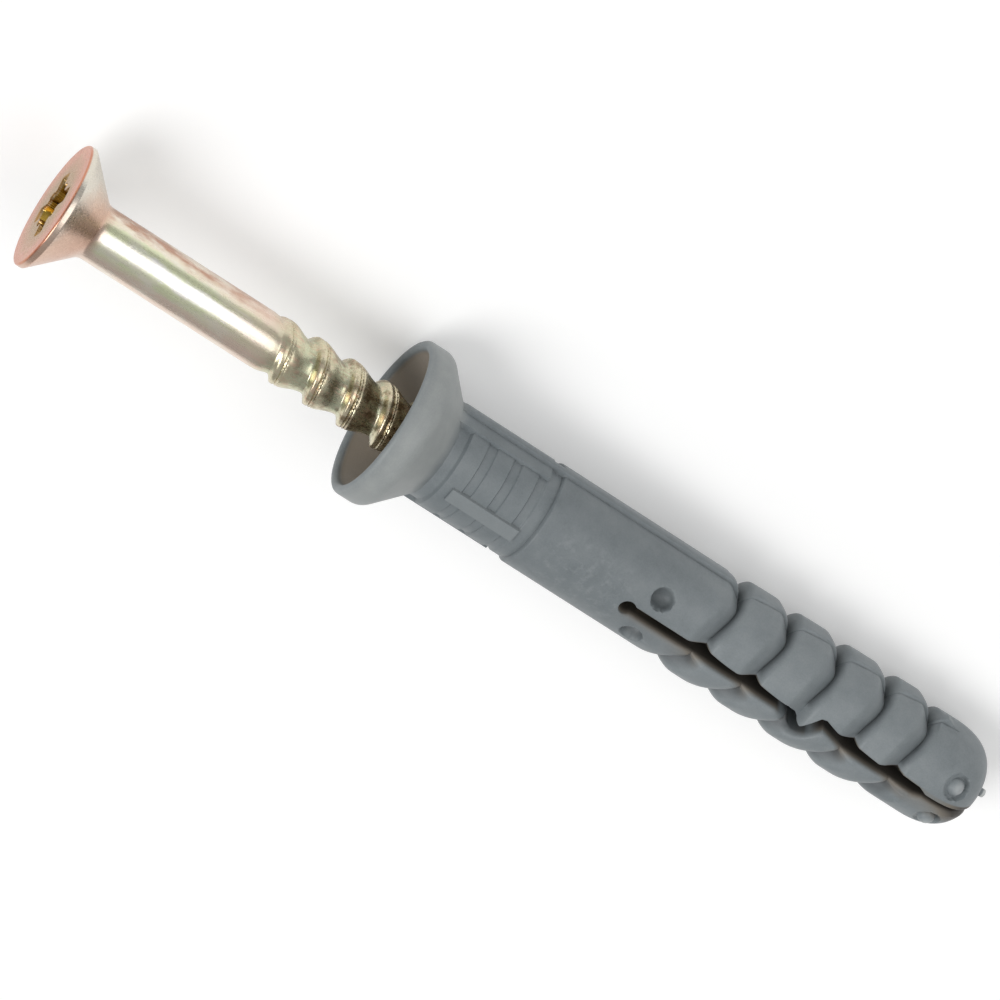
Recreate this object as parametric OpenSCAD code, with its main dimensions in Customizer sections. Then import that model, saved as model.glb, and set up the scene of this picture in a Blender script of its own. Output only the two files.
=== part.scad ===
// Hammer fixing plug: moulded expansion sleeve with a nail screw part-driven into it.
// Lies on a table, plug axis near +X with the tip at +X, expansion slot facing up (+Z).
// All lengths in millimetres, all angles in degrees.

/* [Plug sleeve] */

// Length of the sleeve from the collar rim to the tip
plug_len = 40.3; // [37:0.1:60]
// Outside diameter of the plain body
body_d = 6.2; // [5.6:0.05:7]
// Where the plain body starts, from the collar rim
body_start = 10; // [9.4:0.1:12]

/* [Collar] */

// Outside diameter of the collar rim
collar_d = 9.6; // [8.8:0.1:12]
// Thickness of the collar lip
lip_w = 0.58; // [0.3:0.02:0.9]
// Height of the straight band under the rim
band_h = 1.1; // [0.8:0.05:1.6]
// Radius of the shoulder between the band and the cone
shoulder_r = 1; // [0.4:0.05:1.4]
// Half angle of the collar's outer cone
collar_cone_a = 45; // [35:1:55]

/* [Neck] */

// How far the neck's rungs and end ring lie under the body's surface
rung_drop = 0.16; // [0.05:0.01:0.25]
// Height of the rungs over the neck
rung_h = 0.22; // [0.1:0.02:0.4]
// Distance between neighbouring rungs
rung_pitch = 1.64; // [1.3:0.02:2]
// Width of the groove between two rungs
rung_gap = 0.5; // [0.3:0.05:0.8]
// Width of the ring at the neck's end
ring_w = 0.85; // [0.5:0.05:1.2]
// Width of the short bars in line with the slot
slot_bar_w = 0.95; // [0.6:0.05:1.4]
// Distance from the collar's foot to the start of the short bars
slot_bar_gap = 1.2; // [0.4:0.05:2]
// Width of the side bars under the fins
side_bar_w = 1.9; // [1.2:0.1:2.4]

/* [Fins] */

// Width of the two side fins
fin_w = 0.7; // [0.4:0.05:1]
// Height of the fins over the body
fin_h = 0.22; // [0.14:0.01:0.4]

/* [Expansion zone] */

// Length of the slot from its round end to the tip
slot_len = 24.1; // [22.8:0.1:25.3]
// Width of the slot
slot_w = 0.7; // [0.3:0.05:0.9]
// Width of the slot where the nose closes it
slot_nose_w = 0.3; // [0.2:0.05:0.5]
// Diameter of the round end of the slot
slot_eye_d = 1; // [0.7:0.05:1.4]
// Length of the nose on the -Y half, from its last notch to the tip
nose_len = 6.38; // [5.8:0.02:7.3]
// Distance between neighbouring notches of one half
rib_pitch = 3.38; // [3:0.02:3.8]
// Number of ribs on each half
rib_count = 4; // [2:1:4]
// Height of the rib crests over the body
rib_h = 0.16; // [0:0.01:0.2]
// Depth of the notches under the body's surface on the +Y half
notch_depth = 0.6; // [0.2:0.02:0.7]
// Depth of the notches on the -Y half
notch_low = 0.4; // [0.2:0.02:0.5]
// Length of the steep side of a rib on the +Y half, which faces the collar
rib_rise = 0.5; // [0.3:0.05:0.8]
// Length of the same side on the -Y half, where it is rounded
rib_ramp = 0.8; // [0.4:0.05:1]
// Length of the sloped side of a rib, which faces the tip
rib_fall = 1.25; // [0.8:0.05:1.6]
// Share of the sloped side that falls on the +Y half, the rest runs level to the notch
fall_share = 0.85; // [0.6:0.05:1]
// How far the last notch of the +Y half lies nearer the tip
nose_shift = 1; // [0.6:0.05:1.4]
// Distance from the tip to the start of the slot's locking tooth
tooth_back = 12.9; // [10.4:0.1:15.4]
// Length of the tooth's flank that faces the collar
tooth_run_in = 1.4; // [1:0.05:1.8]
// Length of the tooth's flank that faces the tip
tooth_run_out = 0.7; // [0.5:0.05:1.1]
// How far the tooth reaches into the -Y half
tooth_reach = 0.8; // [0.4:0.05:1]
// How far the slot is offset towards +Y right behind the tooth
tooth_step = 0.52; // [0.1:0.02:0.6]
// Length over which the slot then runs back to the middle
tooth_settle = 2.1; // [1.2:0.1:3]
// Room around the tooth in its pocket
tooth_gap = 0.2; // [0.1:0.02:0.3]
// Diameter of the dimples beside the slot
dimple_d = 1.3; // [0.8:0.05:1.6]
// Depth of the dimples
dimple_depth = 0.25; // [0.1:0.05:0.4]
// Distance from the slot's round end to the dimples
dimple_set = 1.8; // [1.5:0.05:2.2]
// Angle between the slot and the dimples and studs
dimple_a = 28.5; // [26:0.5:40]

/* [Nose] */

// How far the nose's radius lies under the body's
nose_slim = 0.08; // [0:0.01:0.2]
// Length of the nose's rounded end
nose_h = 3.32; // [2.8:0.02:3.8]
// Bluntness of the nose, a ball at 2
nose_blunt = 2.6; // [2:0.1:3]
// Diameter of the studs on the nose
stud_d = 1.05; // [0.6:0.05:1.2]
// Height of the studs over the nose
stud_h = 0.38; // [0.1:0.02:0.4]
// Diameter of the shallow pocket around each stud
stud_pocket_d = 1.5; // [1.3:0.05:1.7]
// Depth of the pocket around each stud
stud_pocket_depth = 0.1; // [0.05:0.01:0.2]
// Angle of the studs above the widest part of the nose
stud_a = 24; // [15:1:35]
// Diameter of the gate mark on the tip
gate_d = 0.5; // [0.3:0.05:0.7]
// Height of the gate mark over the tip
gate_h = 0.2; // [0.1:0.05:0.4]
// Turn of the gate mark about the axis, from the slot's lower side
gate_turn = 130; // [100:5:165]

/* [Nail screw] */

// Overall length of the nail screw
nail_len = 42; // [38:0.5:46]
// How far the nail head stands out of the collar
nail_out = 21.2; // [18:0.1:24]
// Diameter of the nail head
head_d = 7.4; // [6.4:0.1:7.8]
// Height of the straight edge of the head
head_edge = 0.48; // [0.3:0.02:0.7]
// Rounding of the head's two edges
head_round = 0.13; // [0.05:0.01:0.14]
// Radius of the run from the head into the shank
head_fillet = 0.7; // [0.3:0.05:1.2]
// Diameter of the plain shank
shank_d = 3.18; // [2.8:0.02:3.3]
// Outside diameter of the threaded length
thread_d = 3.5; // [3.36:0.02:3.8]
// Length from the head's face to the start of the thread
thread_start = 14; // [10:0.1:17]
// Length of the cone where the thread runs out into the shank
thread_lead = 0.6; // [0.3:0.05:1]
// Length of the point
point_len = 2.4; // [1.6:0.1:3.2]
// Diameter of the blunt end of the point
point_d = 0.5; // [0.2:0.05:0.8]

/* [Cross recess] */

// Turn of the recess about the nail's axis
recess_turn = 30; // [0:5:90]
// Span of the recess wings at the head's face
recess_span = 3.7; // [3:0.05:4.4]
// Width of the recess wings
wing_w = 0.78; // [0.5:0.02:1]
// Depth of the recess
recess_depth = 2; // [1.4:0.1:2.4]
// Span of the recess wings at the bottom
recess_floor = 1.3; // [1:0.05:1.8]
// Width of the square core of the recess
recess_core = 1.25; // [1:0.05:1.6]
// Span of the small ribs between the wings
tick_span = 2.35; // [1.8:0.05:2.6]
// Width of the small ribs between the wings
tick_w = 0.34; // [0.2:0.02:0.5]

/* [Fit] */

// Clearance between the nail and the guide bore, on the radius
nail_clearance = 0.06; // [0.02:0.01:0.12]
// Diameter of the narrow bore that the nail forces apart
pilot_d = 1.6; // [1:0.05:2.2]
// How far the guide bore reaches past the start of the nail's point
guide_past = 0.8; // [0.4:0.1:1.4]
// Length of the taper from the guide bore to the narrow bore
bore_taper = 3; // [2:0.1:4]
// Height of the rounded inner edge of the lip
cup_edge = 0.32; // [0.2:0.02:0.5]

/* [Hidden] */

$fn = 72;

// steps of a rounded edge and of a rib flank
round_steps = 6;
flank_steps = 6;
// overlap of cutters with open air, and of added pieces with their core
eps = 0.05;
bite = 0.3;

body_r = body_d / 2;
collar_r = collar_d / 2;
rung_r = body_r - rung_drop;
neck_r = rung_r - rung_h;
rib_r = body_r + rib_h;
fin_r = body_r + fin_h;
// fins and bars reach into the sleeve down to these radii
fin_core_r = body_r - max(notch_depth, notch_low) - bite;
bar_core_r = neck_r - bite;
shank_r = shank_d / 2;
thread_r = thread_d / 2;
head_r = head_d / 2;
pilot_r = pilot_d / 2;
guide_r = thread_r + nail_clearance;
guide_end = nail_len - nail_out - point_len + guide_past;

// lip: half round between the outside and the cup
lip_r = lip_w / 2;
cup_r = collar_r - lip_w;
cup_cone_h = cup_r - guide_r;

// collar cone: starts at the end of the shoulder and runs to the neck
shoulder_z = band_h;
shoulder_c_r = collar_r - shoulder_r;
cone_top_z = shoulder_z + shoulder_r * cos(collar_cone_a);
cone_top_r = shoulder_c_r + shoulder_r * sin(collar_cone_a);
collar_h = cone_top_z + (cone_top_r - neck_r) / tan(collar_cone_a);

// neck: ring at its end, rungs from the ring back to the collar
ring_start = body_start - ring_w;
rung_w = rung_pitch - rung_gap;
rung_n = floor((ring_start - collar_h) / rung_pitch);
slot_bar_start = collar_h + slot_bar_gap;

// slot: round eye, then the two halves; all of it is set back from the tip
slot_start = plug_len - slot_len;
slot_eye_z = slot_start + slot_eye_d / 2;
rib_start = plug_len - nose_len - rib_count * rib_pitch;
tooth_start = plug_len - tooth_back;
tooth_tip = tooth_start + tooth_run_in;
tooth_end = tooth_tip + tooth_run_out;

// nose: blunt round end
nose_r = body_r - nose_slim;
nose_z = plug_len - nose_h;

// lowest point of a lower stud, as distance from the axis and along it
stud_end = nose_r + stud_h;
stud_dip = cos(stud_a) * cos(dimple_a);
stud_low_r = stud_end * stud_dip + stud_d / 2 * sqrt(1 - pow(stud_dip, 2));
stud_low_z = nose_z + sin(stud_a) * (stud_end - stud_d / 2 * stud_dip / sqrt(1 - pow(stud_dip, 2)));

// tilt at which the collar's shoulder and a ball at [distance from the axis, along it] both touch the table
function tilt_on(c, r) =
    atan2(shoulder_c_r - c[0], c[1] - shoulder_z)
    + asin((shoulder_r - r) / norm([shoulder_c_r - c[0], c[1] - shoulder_z]));

// resting pose, slot up: on the collar's shoulder and on the two lower studs, or on the nose if that is lower
rest_tilt = min(tilt_on([0, nose_z], nose_r), tilt_on([stud_low_r, stud_low_z], 0));
rest_lift = shoulder_c_r * cos(rest_tilt) + shoulder_z * sin(rest_tilt) + shoulder_r;
rest_min_x = -nail_out * cos(rest_tilt) - head_r * sin(rest_tilt);
rest_max_x = (plug_len + gate_h) * cos(rest_tilt);
rest_mid_x = (rest_min_x + rest_max_x) / 2;

// arc points as [radius, height]
function arc(c, r, a0, a1, n = round_steps) =
    [for (i = [0:n]) [c[0] + r * cos(a0 + (a1 - a0) * i / n), c[1] + r * sin(a0 + (a1 - a0) * i / n)]];

// soft step from 0 to 1 over a flank, and the value that far between two others
function ease(i) = i == 0 ? 0 : i == flank_steps ? 1 : (1 - cos(180 * i / flank_steps)) / 2;
function blend(a, b, e) = a * (1 - e) + b * e;

// flank from a notch up to a crest, and from a crest down to a notch
function flank_up(z, len, r0, r1) =
    [for (i = [0:flank_steps]) [r0 + (r1 - r0) * sin(90 * i / flank_steps), z + len * (1 - cos(90 * i / flank_steps))]];
function flank_down(z, len, r0, r1) =
    [for (i = [0:flank_steps]) [blend(r0, r1, ease(i)), z - len * (1 - fall_share * i / flank_steps)]];
// rounded flanks from a crest down to a notch and from a notch up to a crest
function flank_round(z, len, r0, r1) =
    [for (i = [0:flank_steps]) [r1 + (r0 - r1) * cos(90 * i / flank_steps), z - len * (1 - sin(90 * i / flank_steps))]];
// the two sides of a notch on one half
function rib_back(side, i, r0, r1) =
    side > 0 ? flank_down(notch_z(side, i), rib_fall, r0, r1) : flank_round(notch_z(side, i), rib_fall, r0, r1);
function rib_front(side, i, r0, r1) = flank_up(notch_z(side, i), side > 0 ? rib_rise : rib_ramp, r0, r1);
// radius of the notches on one half
function notch_r(side) = body_r - (side > 0 ? notch_depth : notch_low);

// notches of one half: side is +1 for the +Y half and -1 for the -Y half
function notch_z(side, i) =
    side < 0 ? rib_start + i * rib_pitch
    : i < rib_count ? rib_start + (i + 0.5) * rib_pitch
    : rib_start + i * rib_pitch + nose_shift;

// outline along one half, from the plain body to the nose: r0 body, r1 notches, r2 crests, r3 nose
function rib_outline(side, r0, r1, r2, r3) = concat(
    rib_back(side, 0, r0, r1),
    [for (i = [0:rib_count - 1]) each concat(
        rib_front(side, i, r1, r2),
        rib_back(side, i + 1, r2, r1))],
    rib_front(side, rib_count, r1, r3));

// wall of the slot on one half, as [along the plug, across it]: on the +Y half with the tooth
function tooth_wall(w) = [
    [slot_eye_z, w],
    [tooth_start, w],
    [tooth_start + tooth_run_in / 2, w - 0.3 * tooth_reach],
    [tooth_tip, w - tooth_reach],
    [tooth_end, w + tooth_step],
    [tooth_end + tooth_settle, w]
];
// and on the -Y half with the tooth's pocket
function pocket_wall(w) = [
    [slot_eye_z, -w],
    [tooth_start - 2 * tooth_gap, -w],
    [tooth_start + tooth_run_in / 2 - 1.5 * tooth_gap, -w - 0.4 * tooth_reach],
    [tooth_tip - tooth_gap, -w - tooth_reach - tooth_gap / 2],
    [tooth_tip + tooth_gap, -w - tooth_reach - tooth_gap / 2],
    [tooth_end + 2 * tooth_gap, -w + tooth_step],
    [tooth_end + tooth_settle, -w]
];
// with its end, where the nose closes the slot
function slot_wall(side) = concat(
    side > 0 ? tooth_wall(slot_w / 2) : pocket_wall(slot_w / 2),
    [
        [nose_z - rib_rise, side * slot_w / 2],
        [nose_z, side * slot_nose_w / 2],
        [plug_len + eps, side * slot_nose_w / 2]
    ]);

// outline of the nose
function nose_outline() =
    [for (i = [0:3 * round_steps]) [
        nose_r * pow(cos(30 * i / round_steps), 2 / nose_blunt),
        nose_z + nose_h * pow(sin(30 * i / round_steps), 2 / nose_blunt)]];

// places a piece drawn along +Z on the table, tip towards +X
module lie_down() {
    translate([-rest_mid_x, 0, rest_lift])
        rotate([0, 90 + rest_tilt, 0])
            children();
}

// repeats a feature at the slot's upper and lower side
module at_both_slots() {
    for (a = [0, 180])
        rotate([0, 0, a])
            children();
}

// collar, neck rungs, ring and plain body as one turned outline
module collar_and_body() {
    rotate_extrude()
        polygon(concat(
            [[0, 0]],
            arc([collar_r - lip_r, lip_r], lip_r, -90, 0),
            arc([shoulder_c_r, shoulder_z], shoulder_r, 0, collar_cone_a),
            [[neck_r, collar_h]],
            [for (i = [rung_n - 1:-1:0]) each [
                [neck_r, ring_start - rung_gap - i * rung_pitch - rung_w],
                [rung_r, ring_start - rung_gap - i * rung_pitch - rung_w],
                [rung_r, ring_start - rung_gap - i * rung_pitch],
                [neck_r, ring_start - rung_gap - i * rung_pitch]
            ]],
            [[neck_r, ring_start], [rung_r, ring_start], [rung_r, body_start]],
            [[body_r, body_start], [body_r, slot_eye_z], [0, slot_eye_z]]));
}

// bars that divide the neck into four panels
module neck_bars() {
    difference() {
        intersection() {
            translate([0, 0, collar_h - bite])
                cylinder(h = ring_start - collar_h + bite, r = body_r);
            union() {
                at_both_slots()
                    translate([0, -slot_bar_w / 2, slot_bar_start])
                        cube([body_r, slot_bar_w, ring_start - slot_bar_start]);
                at_both_slots()
                    translate([-side_bar_w / 2, 0, collar_h - bite])
                        cube([side_bar_w, body_r, ring_start - collar_h + bite]);
            }
        }
        cylinder(h = plug_len, r = bar_core_r);
    }
}

// ribbed half of the expansion zone with its half of the nose
module expansion_half(side) {
    intersection() {
        rotate_extrude()
            polygon(concat(
                [[0, slot_eye_z], [body_r, slot_eye_z]],
                rib_outline(side, body_r, notch_r(side), rib_r, nose_r),
                nose_outline()));
        rotate([90, 0, 90])
            linear_extrude(height = 2 * collar_d, center = true)
                half_plan(side);
    }
}

// plan of one half, drawn as [across the plug, along the plug]
module half_plan(side) {
    polygon([for (p = concat(
        slot_wall(side),
        [[plug_len + eps, side * collar_d], [slot_eye_z, side * collar_d]])) [p[1], p[0]]]);
}

// fin along one side, over neck, body and ribs
module fin(side) {
    intersection() {
        rotate_extrude()
            polygon(concat(
                [[fin_core_r, collar_h - bite], [fin_r, collar_h - bite]],
                rib_outline(side, fin_r, notch_r(side) + fin_h, fin_r, fin_r),
                [[fin_r, nose_z - fin_h], [nose_r, nose_z], [fin_core_r, nose_z]]));
        translate([-fin_w / 2, side > 0 ? 0 : -collar_r, 0])
            cube([fin_w, collar_r, plug_len]);
    }
}

// stud on the nose, drawn along its own axis
module nose_feature(r0, r1, d) {
    for (side = [1, -1])
        at_both_slots()
            translate([0, 0, nose_z])
                rotate([0, 0, side * dimple_a])
                    rotate([0, 90 - stud_a, 0])
                        translate([0, 0, r0])
                            cylinder(h = r1 - r0, d = d);
}

// dimples beside the round end of the slot
module dimples() {
    for (side = [1, -1])
        at_both_slots()
            translate([0, 0, slot_start + dimple_set])
                rotate([0, 0, side * dimple_a])
                    rotate([0, 90, 0])
                        translate([0, 0, body_r - dimple_depth])
                            cylinder(h = rib_r, d = dimple_d);
}

// cup, guide bore, taper and narrow bore
module bore() {
    rotate_extrude()
        polygon([
            [0, -eps],
            [cup_r + lip_r, -eps],
            [cup_r, cup_edge],
            [guide_r, cup_edge + cup_cone_h],
            [guide_r, guide_end],
            [pilot_r, guide_end + bore_taper],
            [pilot_r, plug_len + gate_h + eps],
            [0, plug_len + gate_h + eps]
        ]);
}

// one moulded piece: collar, ribbed neck, body, two staggered halves and nose
module plug_sleeve() {
    color([0.47, 0.49, 0.51])
        lie_down()
            difference() {
                union() {
                    difference() {
                        union() {
                            collar_and_body();
                            neck_bars();
                            for (side = [1, -1]) {
                                expansion_half(side);
                                fin(side);
                            }
                        }
                        nose_feature(nose_r - stud_pocket_depth, nose_r + stud_h, stud_pocket_d);
                    }
                    nose_feature(nose_r - bite, nose_r + stud_h, stud_d);
                    rotate([0, 0, gate_turn])
                        translate([pilot_r + 0.6 * gate_d, 0, plug_len - bite])
                            cylinder(h = bite + gate_h, d = gate_d);
                }
                bore();
                rotate([0, 90, 0])
                    translate([-slot_eye_z, 0, 0])
                        cylinder(h = collar_d, d = slot_eye_d, center = true);
                dimples();
            }
}

// turned outline of the nail, from the face of the head to the point
module nail_blank() {
    cone_end = head_edge + head_r - shank_r;
    run = head_fillet * tan(22.5);
    rotate_extrude()
        polygon(concat(
            [[0, 0]],
            arc([head_r - head_round, head_round], head_round, -90, 0),
            arc([head_r - head_round, head_edge - head_round], head_round, 0, 45),
            [for (p = arc([shank_r + head_fillet, cone_end + run], head_fillet, 225, 180)) p],
            [[shank_r, thread_start], [thread_r, thread_start + thread_lead]],
            [[thread_r, nail_len - point_len], [point_d / 2, nail_len], [0, nail_len]]));
}

// cross recess with small ribs between the wings
module cross_recess() {
    intersection() {
        translate([0, 0, -eps])
            cylinder(h = recess_depth + eps, d1 = recess_span, d2 = recess_floor);
        union() {
            for (a = [0, 90])
                rotate([0, 0, a])
                    cube([recess_span, wing_w, 2 * recess_depth + eps], center = true);
            for (a = [45, 135])
                rotate([0, 0, a])
                    cube([tick_span, tick_w, recess_depth], center = true);
            cube([recess_core, recess_core, 2 * recess_depth], center = true);
        }
    }
}

// one steel piece: countersunk head, plain shank, threaded length and point
module nail_screw() {
    color([0.76, 0.66, 0.45])
        lie_down()
            translate([0, 0, -nail_out])
                difference() {
                    nail_blank();
                    rotate([0, 0, recess_turn])
                        cross_recess();
                }
}

plug_sleeve();
nail_screw();
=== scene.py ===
"""Looks of the hammer fixing plug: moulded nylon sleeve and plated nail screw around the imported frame."""

import math

import bmesh
import bpy
import numpy as np
from mathutils import Matrix, Vector


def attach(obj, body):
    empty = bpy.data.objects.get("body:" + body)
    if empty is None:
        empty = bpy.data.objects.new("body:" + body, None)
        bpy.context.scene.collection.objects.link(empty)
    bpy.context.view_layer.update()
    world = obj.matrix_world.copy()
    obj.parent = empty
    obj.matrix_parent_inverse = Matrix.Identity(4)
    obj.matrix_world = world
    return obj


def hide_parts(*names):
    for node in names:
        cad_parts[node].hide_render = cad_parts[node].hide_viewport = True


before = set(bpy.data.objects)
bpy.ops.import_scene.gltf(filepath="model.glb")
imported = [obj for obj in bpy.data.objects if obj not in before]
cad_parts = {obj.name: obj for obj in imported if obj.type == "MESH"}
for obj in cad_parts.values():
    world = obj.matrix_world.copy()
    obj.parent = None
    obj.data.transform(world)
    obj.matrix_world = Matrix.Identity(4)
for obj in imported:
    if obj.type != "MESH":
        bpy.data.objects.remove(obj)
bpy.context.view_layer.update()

MM = 0.001
EPS = 1e-9
WELD = 2e-4 * MM
SLIVER = 1e-5 * MM

# sizes in millimetres: the main ones are the solids' own, and small relief follows the photograph
PLUG_LEN = 40.3
BODY_R = 3.1
BODY_START = 10.0
COLLAR_R = 4.8
LIP_W = 0.58
BAND_H = 1.1
SHOULDER_R = 1.0
RUNG_DROP = 0.16
RUNG_H = 0.22
RUNG_PITCH = 1.64
RUNG_GAP = 0.5
RING_W = 0.85
SLOT_BAR_W = 0.95
SLOT_BAR_GAP = 1.2
SIDE_BAR_W = 1.9
FIN_W = 0.1
FIN_H = 0.22
SLOT_LEN = 24.1
SLOT_W = 0.7
SLOT_NOSE_W = 0.3
EYE_D = 1.0
NOSE_LEN = 6.38
RIB_PITCH = 3.38
RIB_COUNT = 4
RIB_H = 0.16
NOTCH_DEPTH = {1: 0.6, -1: 0.4}
RIB_RISE = 0.5
RIB_RAMP = 1.4
RIB_FALL = 1.25
NOSE_SHIFT = 1.3
TOOTH_BACK = 12.9
TOOTH_IN = 1.4
TOOTH_OUT = 0.7
TOOTH_REACH = 0.98
TOOTH_STEP = 0.52
TOOTH_SETTLE = 2.1
TOOTH_GAP = 0.2
DIMPLE_D = 1.3
DIMPLE_DEPTH = 0.3
DIMPLE_SET = 1.8
DIMPLE_A = math.radians(28.5)
NOSE_SLIM = 0.08
NOSE_H = 3.32
NOSE_BLUNT = 2.6
STUD_D = 1.05
STUD_H = 0.38
STUD_A = math.radians(24.0)
POCKET_D = 1.5
POCKET_DEPTH = 0.1
GATE_D = 0.5
GATE_H = 0.2
GATE_TURN = math.radians(130.0)
NAIL_LEN = 42.0
NAIL_OUT = 21.2
HEAD_R = 3.7
HEAD_EDGE = 0.48
HEAD_ROUND = 0.13
HEAD_FILLET = 0.7
SHANK_R = 1.59
THREAD_R = 1.75
THREAD_START = 14.0
POINT_LEN = 2.4
POINT_R = 0.25
RECESS_TURN = math.radians(30.0)
RECESS_R = 2.0
RECESS_DEPTH = 2.0
RECESS_FLOOR_R = 0.65
WING_W = 0.92
RECESS_CORE = 1.6
TICK_SPAN = 2.75
TICK_W = 0.34
NAIL_CLEARANCE = 0.06
PILOT_R = 0.8
GUIDE_PAST = 0.8
BORE_TAPER = 3.0
CUP_EDGE = 0.32

RUNG_R = BODY_R - RUNG_DROP
NECK_R = RUNG_R - RUNG_H
RIB_R = BODY_R + RIB_H
NOTCH_R = {s: BODY_R - d for s, d in NOTCH_DEPTH.items()}
FIN_R = BODY_R + FIN_H
NOSE_R = BODY_R - NOSE_SLIM
NOSE_Z = PLUG_LEN - NOSE_H
CUP_R = COLLAR_R - LIP_W
GUIDE_R = THREAD_R + NAIL_CLEARANCE
GUIDE_END = NAIL_LEN - NAIL_OUT - POINT_LEN + GUIDE_PAST
CUP_FOOT = CUP_EDGE + CUP_R - GUIDE_R
SHOULDER_C = COLLAR_R - SHOULDER_R
CONE_Z = BAND_H + SHOULDER_R * math.sqrt(0.5)
CONE_R = SHOULDER_C + SHOULDER_R * math.sqrt(0.5)
COLLAR_H = CONE_Z + CONE_R - NECK_R
RING_START = BODY_START - RING_W
RUNG_W = RUNG_PITCH - RUNG_GAP
RUNGS = [RING_START - RUNG_GAP - i * RUNG_PITCH for i in range(3)]
SLOT_START = PLUG_LEN - SLOT_LEN
EYE_Z = SLOT_START + EYE_D / 2
EYE_END = EYE_Z + math.sqrt((EYE_D / 2) ** 2 - (SLOT_W / 2) ** 2)
RIB_START = PLUG_LEN - NOSE_LEN - RIB_COUNT * RIB_PITCH
TOOTH_START = PLUG_LEN - TOOTH_BACK
TOOTH_TIP = TOOTH_START + TOOTH_IN
TOOTH_END = TOOTH_TIP + TOOTH_OUT
DIMPLE_Z = SLOT_START + DIMPLE_SET

# resting pose, as in the solids: collar shoulder and the two lower studs on the table
STUD_END = NOSE_R + STUD_H
STUD_DIP = math.cos(STUD_A) * math.cos(DIMPLE_A)
STUD_TOP = (STUD_END * STUD_DIP, STUD_END * math.cos(STUD_A) * math.sin(DIMPLE_A),
            NOSE_Z + STUD_END * math.sin(STUD_A))
STUD_ACROSS = math.sqrt(1 - STUD_DIP ** 2)
STUD_LOW_R = STUD_END * STUD_DIP + STUD_D / 2 * STUD_ACROSS
STUD_LOW_Z = NOSE_Z + math.sin(STUD_A) * (STUD_END - STUD_D / 2 * STUD_DIP / STUD_ACROSS)
TILT = (math.atan2(SHOULDER_C - STUD_LOW_R, STUD_LOW_Z - BAND_H)
        + math.asin(SHOULDER_R / math.hypot(SHOULDER_C - STUD_LOW_R, STUD_LOW_Z - BAND_H)))
SIN_T, COS_T = math.sin(TILT), math.cos(TILT)
LIFT = SHOULDER_C * COS_T + BAND_H * SIN_T + SHOULDER_R
MID_X = ((-NAIL_OUT * COS_T - HEAD_R * SIN_T) + (PLUG_LEN + GATE_H) * COS_T) / 2


def placed(p):
    """Local millimetres (axis along +Z, slot at -X) to the shared frame in metres."""
    p = np.asarray(p, float)
    x, y, z = p[..., 0], p[..., 1], p[..., 2]
    return np.stack([-x * SIN_T + z * COS_T - MID_X, y, -x * COS_T - z * SIN_T + LIFT], -1) * MM


def smooth(a, b, x):
    t = np.clip((np.asarray(x, float) - a) / (b - a), 0.0, 1.0)
    return t * t * (3 - 2 * t)


def inside(d, edge, w):
    """1 where |d| is under edge, 0 beyond it, soft over w on each side."""
    return 1 - smooth(edge - w, edge + w, np.abs(d))


class Builder:
    """Collects points and faces in local millimetres."""

    def __init__(self):
        self.points, self.faces, self.count = [], [], 0

    def row(self, pts):
        pts = np.asarray(pts, float)
        self.points.append(pts)
        ids = np.arange(self.count, self.count + len(pts))
        self.count += len(pts)
        return ids

    def strip(self, a, b, closed=False):
        n = len(a)
        for j in range(n if closed else n - 1):
            k = (j + 1) % n
            self.faces.append((a[j], a[k], b[k], b[j]))

    def zipper(self, a, za, b, zb):
        """Triangles between two chains that run the same way along the plug."""
        i = j = 0
        while i < len(a) - 1 or j < len(b) - 1:
            if j == len(b) - 1 or (i < len(a) - 1 and za[i + 1] <= zb[j + 1]):
                self.faces.append((a[i], a[i + 1], b[j]))
                i += 1
            else:
                self.faces.append((a[i], b[j + 1], b[j]))
                j += 1

    def fan(self, centre, ring):
        c = self.row([centre])[0]
        for j in range(len(ring)):
            self.faces.append((c, ring[j], ring[(j + 1) % len(ring)]))

    def lathe(self, profile, origin, axis, n):
        """Small turned feature, as its own closed skin; profile holds (radius, height)."""
        axis = Vector(axis).normalized()
        side = axis.orthogonal().normalized()
        other = axis.cross(side)
        rows = []
        for r, h in profile:
            rows.append(self.row([
                Vector(origin) + axis * h + (side * math.cos(a) + other * math.sin(a)) * r
                for a in np.linspace(0, 2 * math.pi, n, endpoint=False)]))
        for a, b in zip(rows, rows[1:]):
            self.strip(a, b, closed=True)
        self.fan(Vector(origin) + axis * profile[0][1], rows[0])
        self.fan(Vector(origin) + axis * profile[-1][1], rows[-1])

    def finish(self, name, sharp_deg):
        local = np.concatenate(self.points)
        mesh = bpy.data.meshes.new(name)
        bm = bmesh.new()
        layer = bm.verts.layers.float_vector.new("local_mm")
        verts = []
        for w, l in zip(placed(local), local):
            v = bm.verts.new(w)
            v[layer] = l
            verts.append(v)
        for f in self.faces:
            ids = list(dict.fromkeys(int(i) for i in f))
            if len(ids) > 2:
                try:
                    bm.faces.new([verts[i] for i in ids])
                except ValueError:
                    continue
        bmesh.ops.remove_doubles(bm, verts=bm.verts[:], dist=WELD)
        bmesh.ops.dissolve_degenerate(bm, edges=bm.edges[:], dist=SLIVER)
        bmesh.ops.recalc_face_normals(bm, faces=bm.faces[:])
        bm.to_mesh(mesh)
        bm.free()
        mesh.shade_smooth()
        mesh.set_sharp_from_angle(angle=math.radians(sharp_deg))
        obj = bpy.data.objects.new(name, mesh)
        bpy.context.scene.collection.objects.link(obj)
        return obj


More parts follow.
